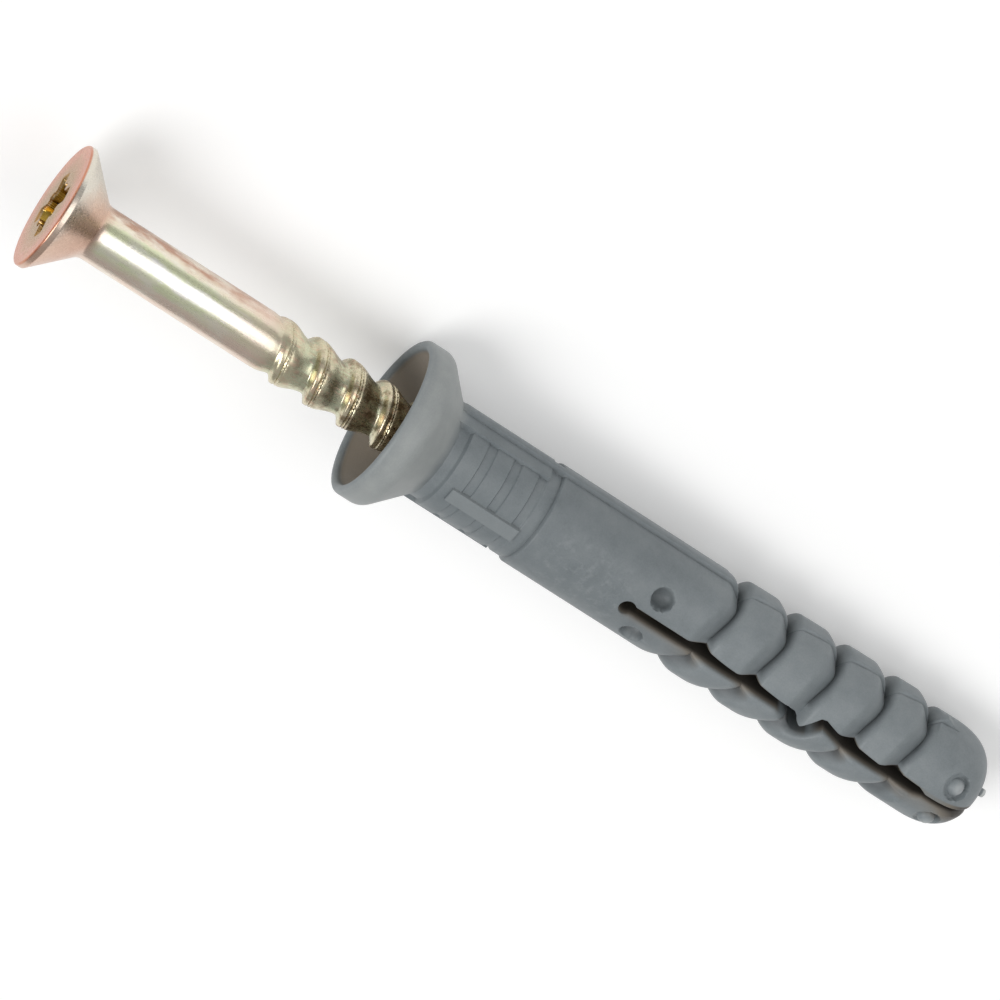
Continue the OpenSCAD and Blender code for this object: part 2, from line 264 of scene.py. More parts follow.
# plug sleeve: relief read from the photograph, with 1 for the half that has the tooth and -1 for the other
SHOULDER = {False: 0.72, True: 0.97}
FALL_POWER = 1.7
FALL_BIAS = 0.9
LEAN_BASE = {1: -0.38, -1: -0.15}
LEAN_GAIN = {1: 0.6, -1: 1.05}
LEAN_TURN = {1: (0.2, 1.25), -1: (0.25, 1.0)}
LEAN_IN = (SLOT_START + 2.6, SLOT_START + 4.2)
LEAN_OUT = (NOSE_Z - 1.7, NOSE_Z)
NEAR_EDGE_A = 0.12
FAR_EDGE_A = 3.0
TOOTH_MID = 0.4
TOOTH_NEAR = 0.97
TOOTH_BLUNT = 0.2
EDGE_R = {1: 0.1, -1: 0.38}
EDGE_RUN = 1.2
STEP_SOFT = 0.06
BAR_SOFT = 0.03
BAR_FROM = COLLAR_H - 0.4
BAR_TO = RING_START + 0.05
RUNG_GROOVE = 0.1
RING_GROOVE = 0.05
RING_GROOVE_W = 0.03
RING_GROOVE_Z = BODY_START - 0.07
FIN_START = COLLAR_H - 0.3
FIN_ROUND = 1.0
FIN_SINK = 0.4
FIN_FALL_POWER = 2.2
FIN_FADE = 6 * FIN_H
FIN_UNDER = 0.02
FIN_SOFT = 0.022
FIN_BACK = (0.1, 1.2)
CROWN_DROP = 0.05
CROWN_W = 0.12
GROOVE_START = COLLAR_H + 0.1
GROOVE_OFF = 0.06
GROOVE_W = 0.035
GROOVE_PLAIN = 0.045
GROOVE_RIBBED = 0.08
DIMPLE_TURNS = (DIMPLE_A, math.pi - DIMPLE_A)
DIMPLE_REACH = 0.6
DIMPLE_COS = 0.5
DIMPLE_BOWL = 0.5
DIMPLE_SOFT = 0.055
DIMPLE_STEP = 0.06
POCKET_SOFT = 0.04
CREASE_W = 0.08
CREASE_DEPTH = {1: 0.15, -1: 0.1}
CREASE_TURN = (0.14, 0.34)
HOLLOW_END = NOSE_Z - 1.4
FAR_TURN = (1.3, 1.7)
FIN_HOLLOW = 0.3
FIN_HOLLOW_IN = (1.05, 1.5)
FIN_HOLLOW_OUT = (1.7, 2.0)
SLOT_HOLLOW = 0.2
SLOT_HOLLOW_OUT = (0.1, 0.4)
LIP_KEEP = 0.6
LIP_OUT = (0.06, 0.3)
HOLLOW = 0.75
HOLLOW_A = 0.5
HOLLOW_W = 0.24

# rows and lines of the sleeve's mesh
NEAREST_ROWS = 0.004
SHARED_STEP = 0.32
HALF_STEP = 0.3
ROW_SLACK = 1e-6
RISE_CROWD = 1.3
EDGE_MARKS = (-0.09, -STEP_SOFT, -0.03, 0.0, 0.03, STEP_SOFT, 0.09)
EYE_TURN = math.acos(-0.8)
NOSE_ROWS = 62
NOSE_CROWD = 1.15
GUIDE_ROWS = (12.0, 7.0)
CUP_ROWS = (0.15, 0.4, 0.7, 0.92)
CUP_ROUND = 0.06
LIP_DROP = CUP_EDGE + 0.02
BAND_ROWS = (0.55, 0.85)
HOLE_FLARE = 0.1
HOLE_SINK = 0.02
STUD_FOOT = -0.25
STUD_SILL = 0.1
STUD_SIDES = 40
GATE_FOOT = -0.35
GATE_SILL = -0.1
GATE_OFF = PILOT_R + 0.6 * GATE_D
# worn edge of the gate mark, as (in from its side, down from its top)
GATE_EDGE = ((0.0, 0.07), (0.03, 0.02), (0.09, 0.0))
GATE_SIDES = 28
SLEEVE_SHARP = 42


def notches(s):
    base = [RIB_START + i * RIB_PITCH for i in range(RIB_COUNT + 1)]
    if s < 0:
        return base
    return [z + RIB_PITCH / 2 for z in base[:-1]] + [base[-1] + NOSE_SHIFT]


def rib_radius(z, s, far):
    """Turned outline of one half, from the body over its notches and crests to the nose."""
    low, places, r = NOTCH_R[s], notches(s), BODY_R
    for i, n in enumerate(places):
        before = BODY_R if i == 0 else RIB_R
        after = NOSE_R if i == len(places) - 1 else RIB_R
        if n - RIB_FALL < z <= n and s > 0:
            q = (z - n + RIB_FALL) / RIB_FALL
            return before + (low - before) * min(1.0, q ** FALL_POWER * (1 + FALL_BIAS - FALL_BIAS * q))
        if n - RIB_FALL < z <= n:
            return low + (before - low) * math.sqrt(max(0.0, 1 - (1 - (n - z) / RIB_FALL) ** 2))
        if n < z <= n + RIB_RISE and s > 0:
            return low + SHOULDER[far] * (after - low) * math.sin(math.pi / 2 * (z - n) / RIB_RISE)
        if n < z < n + RIB_RAMP and s < 0:
            return low + (after - low) * math.sin(math.pi / 2 * (z - n) / RIB_RAMP)
        if z > n and s > 0:
            q = min(1.0, (z - n - RIB_RISE) / (RIB_PITCH - RIB_FALL - RIB_RISE))
            r = low + (after - low) * (SHOULDER[far] + (1 - SHOULDER[far]) * math.sin(math.pi / 2 * q))
        elif z > n:
            r = after
    return r


def lean(beta, s):
    """How far a notch lies nearer the nose at one angle than the solids' level one."""
    turned = smooth(*LEAN_TURN[s], beta)
    return LEAN_BASE[s] + LEAN_GAIN[s] * (turned if s > 0 else 1 - turned)


def lean_share(z):
    return float(smooth(*LEAN_IN, z) * (1 - smooth(*LEAN_OUT, z)))


W = SLOT_W / 2
# slot walls as (along the plug, distance into that half): tooth on the +Y half, its pocket on the other
WALLS = {
    1: [(EYE_Z, W), (TOOTH_START, W), (TOOTH_START + TOOTH_IN / 2, W - TOOTH_MID * TOOTH_REACH),
        (TOOTH_TIP - TOOTH_BLUNT, W - TOOTH_NEAR * TOOTH_REACH), (TOOTH_TIP, W - TOOTH_REACH),
        (TOOTH_END, W + TOOTH_STEP), (TOOTH_END + TOOTH_SETTLE, W)],
    -1: [(EYE_Z, W), (TOOTH_START - 2 * TOOTH_GAP, W),
         (TOOTH_START + TOOTH_IN / 2 - 1.5 * TOOTH_GAP, W + TOOTH_MID * TOOTH_REACH),
         (TOOTH_TIP - TOOTH_GAP, W + TOOTH_REACH + TOOTH_GAP / 2),
         (TOOTH_TIP + TOOTH_GAP, W + TOOTH_REACH + TOOTH_GAP / 2),
         (TOOTH_END + 2 * TOOTH_GAP, W - TOOTH_STEP), (TOOTH_END + TOOTH_SETTLE, W)],
}
for wall in WALLS.values():
    wall += [(NOSE_Z - RIB_RISE, W), (NOSE_Z, SLOT_NOSE_W / 2), (PLUG_LEN + 1, SLOT_NOSE_W / 2)]


def slot_edge(z, s):
    """Distance of one half's slot wall from the axis, measured into that half."""
    if z <= SLOT_START:
        return 0.0
    if z < EYE_END:
        return math.sqrt(max(0.0, (EYE_D / 2) ** 2 - (z - EYE_Z) ** 2))
    return float(np.interp(z, [w[0] for w in WALLS[s]], [w[1] for w in WALLS[s]]))


# lines along one quarter, from the slot (0) to the fin (90 degrees), as arc lengths that crowd at each edge
QUARTER = BODY_R * math.pi / 2
BAR_EDGE = QUARTER - BODY_R * math.asin(SIDE_BAR_W / 2 / BODY_R)
FIN_EDGE = QUARTER - BODY_R * math.asin(FIN_W / 2 / BODY_R)
ARCS = np.concatenate([
    [0.0, 0.012, 0.035, 0.07, 0.12, 0.22, 0.33],
    SLOT_BAR_W / 2 + np.array([-0.06, -0.025, 0.0, 0.025, 0.06]),
    [0.65, 0.77],
    np.arange(0.86, 2.3, 0.076),
    np.linspace(2.4, BAR_EDGE - 0.12, 9),
    BAR_EDGE + np.array([-0.05, -0.02, 0.0, 0.02, 0.05, 0.2, 0.35, 0.55, 0.72]),
    FIN_EDGE + np.array([-0.13, -0.09, -0.06, -0.035, -0.012, 0.012, 0.03]),
])
LINES = np.concatenate([ARCS / BODY_R, [math.pi / 2], (math.pi - ARCS / BODY_R)[::-1]])
SQUEEZE = math.radians(45.0)
SQUEEZE_SHARE = 0.9


def lines_at(r, z, s, z_far=None):
    """Angles of the lines on one row, squeezed to start and end at the slot's walls, and those walls' angles."""
    ends = (z, z if z_far is None else z_far)
    b0, b1 = (math.asin(max(-1.0, min(1.0, slot_edge(h, s) / max(r, EPS)))) for h in ends)
    if abs(b0) < EPS and abs(b1) < EPS:
        return LINES, b0, b1
    if max(b0, b1) > SQUEEZE * SQUEEZE_SHARE:
        return np.interp(LINES, [0, math.pi], [b0, math.pi - b1]), b0, b1
    low = np.where(LINES < SQUEEZE, b0 + LINES * (SQUEEZE - b0) / SQUEEZE, LINES)
    top = math.pi - LINES
    return np.where(top < SQUEEZE, math.pi - (b1 + top * (SQUEEZE - b1) / SQUEEZE), low), b0, b1


def turned_radius(z, s, far=False):
    """Outline of collar cone, neck, body and ribs without the bars, fins and dimples."""
    if z > SLOT_START:
        return rib_radius(z, s, far)
    cone = CONE_R - (z - CONE_Z)
    r = NECK_R
    for top in RUNGS:
        r += RUNG_H * float(smooth(top - RUNG_W - STEP_SOFT, top - RUNG_W + STEP_SOFT, z)
                            * (1 - smooth(top - STEP_SOFT, top + STEP_SOFT, z)))
    if z > RUNGS[-1] - RUNG_W:
        r = max(r, RUNG_R - RUNG_GROOVE)
    r += (RUNG_R - r) * float(smooth(RING_START - STEP_SOFT, RING_START + STEP_SOFT, z))
    r += RUNG_DROP * float(smooth(BODY_START - STEP_SOFT, BODY_START + STEP_SOFT, z))
    r -= RING_GROOVE * float(inside(z - RING_GROOVE_Z, RING_GROOVE_W, RING_GROOVE_W))
    return max(cone, r)


def fin_top(z, s):
    """Radius of the fin's crest, or 0 where there is no fin."""
    if z < FIN_START:
        return 0.0
    r, low = FIN_R, NOTCH_R[s] - FIN_SINK
    for n in notches(s):
        if n - RIB_FALL < z <= n:
            q = (z - n + RIB_FALL) / RIB_FALL
            r = FIN_R + (low - FIN_R) * q ** FIN_FALL_POWER
        if n < z < n + FIN_ROUND:
            r = low + (FIN_R - low) * math.sqrt(math.sin(math.pi / 2 * (z - n) / FIN_ROUND))
    return min(r, FIN_R - (FIN_R - NOSE_R + FIN_UNDER) * float(smooth(NOSE_Z - FIN_FADE, NOSE_Z, z)))


def edge_z(z, s):
    """Where a row of the ribbed part meets the slot on the near and the far side."""
    share = lean_share(z)
    return z + share * float(lean(NEAR_EDGE_A, s)), z + share * float(lean(FAR_EDGE_A, s))


def edge_drop(arc, e):
    """Height that an edge rounded to the radius e loses at the distance arc from it."""
    return e - np.sqrt(np.maximum(0.0, e * e - (e - np.minimum(arc, e)) ** 2))


def with_hollows(r, base, beta, z, s):
    """Ribs of one half lower and higher around the plug, and a crease in each notch."""
    cut = max(0.0, (RIB_R if z > notches(s)[0] else BODY_R) - base) if z < HOLLOW_END else 0.0
    if s > 0:
        r = r + (turned_radius(z, s, True) - base) * smooth(*FAR_TURN, beta)
        at_fin = FIN_HOLLOW * smooth(*FIN_HOLLOW_IN, beta) * (1 - smooth(*FIN_HOLLOW_OUT, beta))
        r = r - cut * (at_fin + SLOT_HOLLOW * (1 - smooth(*SLOT_HOLLOW_OUT, beta)))
    elif cut > 0:
        lip = LIP_KEEP * (1 - smooth(*LIP_OUT, beta))
        r = r + cut * (lip - HOLLOW * np.exp(-((beta - HOLLOW_A) / HOLLOW_W) ** 2))
    crease = sum(math.exp(-((z - n) / CREASE_W) ** 2) for n in notches(s))
    return r - CREASE_DEPTH[s] * crease * smooth(*CREASE_TURN, beta)


def with_bars(r, x, y, z):
    """Neck with the narrow bars at the slot's sides and the wide ones under the fins."""
    run = float(smooth(COLLAR_H + SLOT_BAR_GAP - BAR_SOFT, COLLAR_H + SLOT_BAR_GAP + BAR_SOFT, z))
    bar = NECK_R + (BODY_R - NECK_R) * inside(y, SLOT_BAR_W / 2, STEP_SOFT) * run
    side = NECK_R + (BODY_R - NECK_R) * inside(x, SIDE_BAR_W / 2, STEP_SOFT)
    return np.maximum(r, np.maximum(bar, side))


def with_fin(r, x, z, top):
    """Side fin up to the radius top, with a fine groove along its foot."""
    if z > GROOVE_START:
        groove = np.exp(-((x - FIN_W / 2 - GROOVE_OFF) / GROOVE_W) ** 2)
        r = r - (GROOVE_RIBBED if z > SLOT_START else GROOVE_PLAIN) * groove
    crown = top - CROWN_DROP * smooth(FIN_W / 2 - CROWN_W, FIN_W / 2, x) ** 2
    back = 1 - smooth(*FIN_BACK, -x)
    flank = inside(x, FIN_W / 2, FIN_SOFT) * back + (x < 0) * back
    return np.where(crown > r, r + (crown - r) * np.minimum(flank, 1.0), r)


def with_dimples(r, beta, z):
    for bd in DIMPLE_TURNS:
        d = np.hypot(BODY_R * np.sin(beta - bd), z - DIMPLE_Z)
        floor = (BODY_R - DIMPLE_DEPTH) / np.maximum(np.cos(beta - bd), DIMPLE_COS)
        floor = floor - DIMPLE_BOWL * np.sqrt(np.maximum(0.0, 1 - (d / (DIMPLE_D / 2)) ** 2))
        sunk = r + (np.minimum(floor, r) - r) * inside(d, DIMPLE_D / 2, DIMPLE_SOFT)
        r = np.where(np.abs(beta - bd) < DIMPLE_REACH, sunk, r)
    return r


def outer_row(z, s):
    """One half's row of the outside, from the near to the far side of the slot."""
    base = turned_radius(z, s)
    near, far = edge_z(z, s)
    beta, b0, b1 = lines_at(base, near, s, far)
    r = np.full(len(beta), base)
    if z > SLOT_START:
        r = with_hollows(r, base, beta, z, s)
    x, y = BODY_R * np.cos(beta), BODY_R * np.sin(beta)
    if BAR_FROM < z < BAR_TO:
        r = with_bars(r, x, y, z)
    top = fin_top(z, s)
    if top:
        r = with_fin(r, x, z, top)
    if abs(z - DIMPLE_Z) < DIMPLE_D:
        r = with_dimples(r, beta, z)
    e = EDGE_R[s] * float(smooth(SLOT_START, SLOT_START + EDGE_RUN, z))
    if e > EPS:
        r = r - edge_drop(base * np.minimum(beta - b0, math.pi - b1 - beta), e)
    return np.stack([-r * np.cos(beta), s * r * np.sin(beta), z + lean_share(z) * lean(beta, s)], -1)


def nose_z(a):
    return NOSE_Z + NOSE_H * math.sin(a) ** (2 / NOSE_BLUNT)


def stud_axis(bd, s):
    return np.array([-math.cos(STUD_A) * math.cos(bd), s * math.cos(STUD_A) * math.sin(bd), math.sin(STUD_A)])


def nose_row(a, s):
    """Row of the blunt nose at the angle a of its outline, with a shallow pocket around each stud."""
    flat, z = NOSE_R * math.cos(a) ** (2 / NOSE_BLUNT), nose_z(a)
    beta, b0, _ = lines_at(flat, z, s)
    p = np.stack([-flat * np.cos(beta), s * flat * np.sin(beta), np.full(len(beta), z - NOSE_Z)], -1)
    drop = edge_drop(flat * np.minimum(beta - b0, math.pi - b0 - beta), EDGE_R[s])
    p = p * (1 - drop / np.linalg.norm(p, axis=1))[:, None]
    for bd in DIMPLE_TURNS:
        axis = stud_axis(bd, s)
        up = p @ axis
        d = np.linalg.norm(p - up[:, None] * axis, axis=1)
        sink = np.maximum(0.0, up - (NOSE_R - POCKET_DEPTH)) * inside(d, POCKET_D / 2, POCKET_SOFT)
        p = p - np.where(up > 0, sink, 0.0)[:, None] * axis
    return p + np.array([0, 0, NOSE_Z])


def round_row(r, z, s):
    r = max(r, slot_edge(z, s))
    beta = lines_at(r, z, s)[0]
    return np.stack([-r * np.cos(beta), s * r * np.sin(beta), np.full(len(beta), z)], -1)


def spread(marks, step):
    """Sorted marks with extra ones between them where they lie further apart than step."""
    marks = sorted(set(round(float(m), 5) for m in marks))
    out = [marks[0]]
    for m in marks[1:]:
        if m - out[-1] < NEAREST_ROWS:
            continue
        n = max(1, math.ceil((m - out[-1]) / step - ROW_SLACK))
        out += [out[-1] + (m - out[-1]) * (i + 1) / n for i in range(n)]
    return out


def shared_rows():
    """Rows of the outside from the collar's cone to the start of the slot."""
    marks = [CONE_Z, COLLAR_H - 0.06, COLLAR_H, COLLAR_H + 0.05, SLOT_START]
    edges = RUNGS + [top - RUNG_W for top in RUNGS] + [RING_START, BODY_START, COLLAR_H + SLOT_BAR_GAP]
    marks += [e + m for e in edges for m in EDGE_MARKS]
    marks += [RING_GROOVE_Z - i * RING_GROOVE_W for i in range(3)]
    return spread(marks, SHARED_STEP)


def eye_rows(first, count):
    return [EYE_Z - EYE_D / 2 * math.cos(a) for a in np.linspace(first, EYE_TURN, count)]


def half_rows(s):
    """Rows of one half from the start of the slot to the nose."""
    marks = [SLOT_START, EYE_END + 0.05, NOSE_Z - RIB_RISE, NOSE_Z] + eye_rows(0, 15)
    dimple = DIMPLE_D / 2 + DIMPLE_STEP
    marks += list(np.arange(DIMPLE_Z - dimple, DIMPLE_Z + dimple + 0.01, DIMPLE_STEP))
    for n in notches(s):
        marks += [n + CREASE_W * q for q in (-1.0, -0.5, 0.0, 0.5, 1.0)]
        if s > 0:
            marks += list(n - RIB_FALL * np.linspace(0, 1, 12))
            marks += list(n + RIB_RISE * np.linspace(0, 1, 9) ** RISE_CROWD)
        else:
            marks += [n - RIB_FALL * (1 - math.sin(a)) for a in np.linspace(0, math.pi / 2, 11)]
            marks += list(n + RIB_RAMP * np.linspace(0, 1, 9))
    marks += [w[0] for w in WALLS[s][1:6]]
    marks += [NOSE_Z - 2 * FIN_H, NOSE_Z - FIN_H]
    return [z for z in spread(marks, HALF_STEP) if z <= NOSE_Z + ROW_SLACK]


def collar_profile():
    """From the foot of the cup over the lip to the start of the collar's cone, as (radius, height)."""
    pts = [(GUIDE_R, CUP_FOOT), (GUIDE_R + CUP_ROUND, CUP_FOOT - CUP_ROUND)]
    pts += [(GUIDE_R + (CUP_R - GUIDE_R) * q, CUP_FOOT - (CUP_R - GUIDE_R) * q) for q in CUP_ROWS]
    lip = LIP_W / 2
    pts += [(CUP_R + lip - lip * math.cos(a), LIP_DROP - LIP_DROP * math.sin(a))
            for a in np.linspace(0.05, math.pi / 2, 8)]
    pts += [(COLLAR_R - lip + lip * math.sin(a), lip - lip * math.cos(a)) for a in np.linspace(0.2, math.pi / 2, 7)]
    pts += [(COLLAR_R, z) for z in BAND_ROWS]
    pts += [(SHOULDER_C + SHOULDER_R * math.cos(a), BAND_H + SHOULDER_R * math.sin(a))
            for a in np.linspace(0, math.pi / 4, 9)[:-1]]
    return pts


HOLE_A = math.acos(((PILOT_R + HOLE_FLARE) / NOSE_R) ** (NOSE_BLUNT / 2))
HOLE_Z = nose_z(HOLE_A) - HOLE_SINK


def bore_radius(z):
    return float(np.interp(z, [GUIDE_END, GUIDE_END + BORE_TAPER], [GUIDE_R, PILOT_R]))


def bore_rows(s):
    """Rows of the bore from the start of the slot to the hole in the nose."""
    zs = [SLOT_START] + eye_rows(0.3, 7)
    zs += [GUIDE_END, GUIDE_END + BORE_TAPER / 2, GUIDE_END + BORE_TAPER]
    zs += list(np.linspace(GUIDE_END + BORE_TAPER + 1, TOOTH_START, 4))
    zs += [w[0] for w in WALLS[s][1:-1]] + list(np.linspace(TOOTH_START, TOOTH_END, 7)) + [HOLE_Z]
    return sorted(set(round(z, 5) for z in zs))


def add_half(b, s):
    """Skin of one half, outside, slot walls and bore in one."""
    rows = [b.row(round_row(r, z, s)) for r, z in collar_profile()]
    rows += [b.row(outer_row(z, s)) for z in shared_rows()[:-1]]
    zs = half_rows(s)
    turns = HOLE_A * np.linspace(0, 1, NOSE_ROWS)[1:] ** NOSE_CROWD
    chain = [b.row(outer_row(z, s)) for z in zs] + [b.row(nose_row(a, s)) for a in turns]
    near_z, far_z = ([edge_z(z, s)[k] for z in zs] + [nose_z(a) for a in turns] for k in (0, 1))
    inner_z = bore_rows(s)
    inner = [b.row(round_row(bore_radius(z), z, s)) for z in inner_z]
    b.zipper([c[0] for c in chain], near_z, [i[0] for i in inner], inner_z)
    b.zipper([c[-1] for c in chain], far_z, [i[-1] for i in inner], inner_z)
    rows += chain + inner[::-1]
    rows += [b.row(round_row(GUIDE_R, z, s)) for z in (*GUIDE_ROWS, CUP_FOOT)]
    for p, q in zip(rows, rows[1:]):
        b.strip(p, q)


def add_studs(b, s):
    r = STUD_D / 2
    profile = [(r, STUD_FOOT), (r, -STUD_SILL)]
    profile += [(r * math.cos(a), -STUD_SILL + (STUD_H + STUD_SILL) * math.sin(a)) for a in np.linspace(0.12, 1.45, 11)]
    for bd in DIMPLE_TURNS:
        axis = stud_axis(bd, s)
        b.lathe(profile, axis * NOSE_R + np.array([0, 0, NOSE_Z]), axis, STUD_SIDES)


def build_sleeve():
    b = Builder()
    for s in (1, -1):
        add_half(b, s)
        add_studs(b, s)
    g = GATE_D / 2
    profile = [(g, GATE_FOOT), (g, GATE_SILL)] + [(g - i, GATE_H - d) for i, d in GATE_EDGE]
    b.lathe(profile, (GATE_OFF * math.cos(GATE_TURN), GATE_OFF * math.sin(GATE_TURN), PLUG_LEN), (0, 0, 1), GATE_SIDES)
    return b.finish("sleeve_moulding", SLEEVE_SHARP)


# nail screw: thread outline in shares of its pitch, and rows along the nail from its head
PITCH = 2.2
ROOT_R = 1.31
STEEP_END = 0.17
CREST_END = 0.31
LONG_FLANK = 0.62
FLANK_WAVE = 0.05
# rolling seams on the crest, as (place, width, depth)
SEAMS = ((0.285, 0.018, 0.085), (0.355, 0.016, 0.05))
THREAD_LEAD = 0.75
THREAD_SOFT = 1.1
THREAD_SWAY = 0.35
RECESS_SOFT = 0.045
RECESS_DRAFT = 0.06
# rings of the head's face, as (first radius, last radius, count)
RECESS_ROWS = (0.05, RECESS_R + 0.1, 56)
FACE_ROWS = (2.25, HEAD_R - HEAD_ROUND - 0.04, 8)
FINE_SIDES = 256
COARSE_SIDES = 128
SHANK_END = 13.0
SEEN_END = 24.5
SEEN_STEP = 0.042
HIDDEN_STEP = 0.12
NAIL_SHARP = 40


def thread_radius(f):
    """Outline over one pitch, from the head side: steep flank, crest with rolling seams, long flank."""
    f = np.asarray(f, float) % 1.0
    rise = smooth(0.0, STEEP_END, f)
    fall = np.clip((f - CREST_END) / LONG_FLANK, 0.0, 1.0)
    fall = fall - FLANK_WAVE * np.sin(2 * np.pi * fall) * (fall > 0)
    r = ROOT_R + (THREAD_R - ROOT_R) * np.where(f < CREST_END, rise, 1 - fall)
    return r - sum(np.exp(-((f - at) / wide) ** 2) * deep for at, wide, deep in SEAMS)


def recess_depth(x, y):
    """Depth of the cross recess, with its ribs between the wings, under a point of the head's face."""
    c, n = math.cos(RECESS_TURN), math.sin(RECESS_TURN)
    u, v = c * x + n * y, -n * x + c * y
    rho = np.hypot(u, v)
    cone = np.clip((RECESS_R - rho) / (RECESS_R - RECESS_FLOOR_R), 0.0, 1.0) * RECESS_DEPTH
    half = WING_W / 2 - RECESS_DRAFT * np.clip(cone / RECESS_DEPTH, 0, 1)
    wing = np.maximum(inside(v, half, RECESS_SOFT), inside(u, half, RECESS_SOFT))
    core = inside(np.abs(u) + np.abs(v), RECESS_CORE, RECESS_SOFT)
    p, q = (u + v) * math.sqrt(0.5), (u - v) * math.sqrt(0.5)
    tick = np.maximum(inside(p, TICK_W / 2, RECESS_SOFT), inside(q, TICK_W / 2, RECESS_SOFT))
    tick = tick * inside(rho, TICK_SPAN / 2, RECESS_SOFT)
    return np.maximum(cone * np.maximum(wing, core), np.minimum(cone, RECESS_DEPTH / 2) * tick)


def add_face(b):
    """Face of the head with its recess; gives its outer ring."""
    angles = np.linspace(0, 2 * math.pi, FINE_SIDES, endpoint=False)
    face_r = HEAD_R - HEAD_ROUND
    radii = np.concatenate([np.linspace(*RECESS_ROWS), np.linspace(*FACE_ROWS), [face_r]])
    ring = None
    for r in radii:
        x, y = r * np.cos(angles), r * np.sin(angles)
        ids = b.row(np.stack([x, y, recess_depth(x, y) - NAIL_OUT], -1))
        if ring is None:
            b.fan((0, 0, RECESS_DEPTH - NAIL_OUT), ids)
        else:
            b.strip(ring, ids, closed=True)
        ring = ids
    return ring


def head_profile():
    """Edge, cone and fillet of the head and the plain shank, as (radius, height)."""
    edge_r, edge_h = HEAD_R - HEAD_ROUND, HEAD_EDGE - HEAD_ROUND
    prof = [(edge_r + HEAD_ROUND * math.sin(a), HEAD_ROUND - HEAD_ROUND * math.cos(a))
            for a in np.linspace(0.25, math.pi / 2, 6)]
    prof += [(HEAD_R, edge_h)]
    prof += [(edge_r + HEAD_ROUND * math.cos(a), edge_h + HEAD_ROUND * math.sin(a))
             for a in np.linspace(0.2, math.pi / 4, 4)]
    foot = HEAD_EDGE + HEAD_R - SHANK_R + HEAD_FILLET * math.tan(math.pi / 8)
    arc = [(SHANK_R + HEAD_FILLET - HEAD_FILLET * math.cos(a), foot - HEAD_FILLET * math.sin(a))
           for a in np.linspace(math.pi / 4, 0, 8)]
    (r0, h0), (r1, h1) = prof[-1], arc[0]
    prof += [(r0 + (r1 - r0) * q, h0 + (h1 - h0) * q) for q in (0.25, 0.5, 0.75)]
    return prof + arc + [(SHANK_R, z) for z in np.linspace(foot + 0.5, SHANK_END, 14)]


def halve(b, fine, ring):
    """Faces between a ring and one with twice its points."""
    n = len(ring)
    for i in range(n):
        k = (i + 1) % n
        mid = fine[2 * i + 1]
        b.faces += [(ring[i], fine[2 * i], mid), (ring[i], mid, ring[k]), (ring[k], mid, fine[(2 * i + 2) % len(fine)])]


def build_nail():
    b = Builder()
    face = add_face(b)
    angles = np.linspace(0, 2 * math.pi, COARSE_SIDES, endpoint=False)

    def ring_at(r, z):
        return b.row(np.stack([r * np.cos(angles), r * np.sin(angles), np.full(COARSE_SIDES, z - NAIL_OUT)], -1))

    ring = None
    for r, z in head_profile():
        ids = ring_at(r, z)
        if ring is None:
            halve(b, face, ids)
        else:
            b.strip(ring, ids, closed=True)
        ring = ids
    for z in np.concatenate([np.arange(SHANK_END + 0.05, SEEN_END, SEEN_STEP),
                             np.arange(SEEN_END, NAIL_LEN - 0.02, HIDDEN_STEP), [NAIL_LEN]]):
        share = smooth(THREAD_START - THREAD_LEAD, THREAD_START + THREAD_SOFT, z + THREAD_SWAY * np.cos(angles))
        r = SHANK_R + (thread_radius(z / PITCH - angles / (2 * math.pi)) - SHANK_R) * share
        tip = POINT_R + (THREAD_R - POINT_R) * min(1.0, (NAIL_LEN - z) / POINT_LEN)
        ids = ring_at(np.minimum(r, tip), z)
        b.strip(ring, ids, closed=True)
        ring = ids
    b.fan((0, 0, NAIL_LEN - NAIL_OUT), ring)
    return b.finish("nail_plated", NAIL_SHARP)


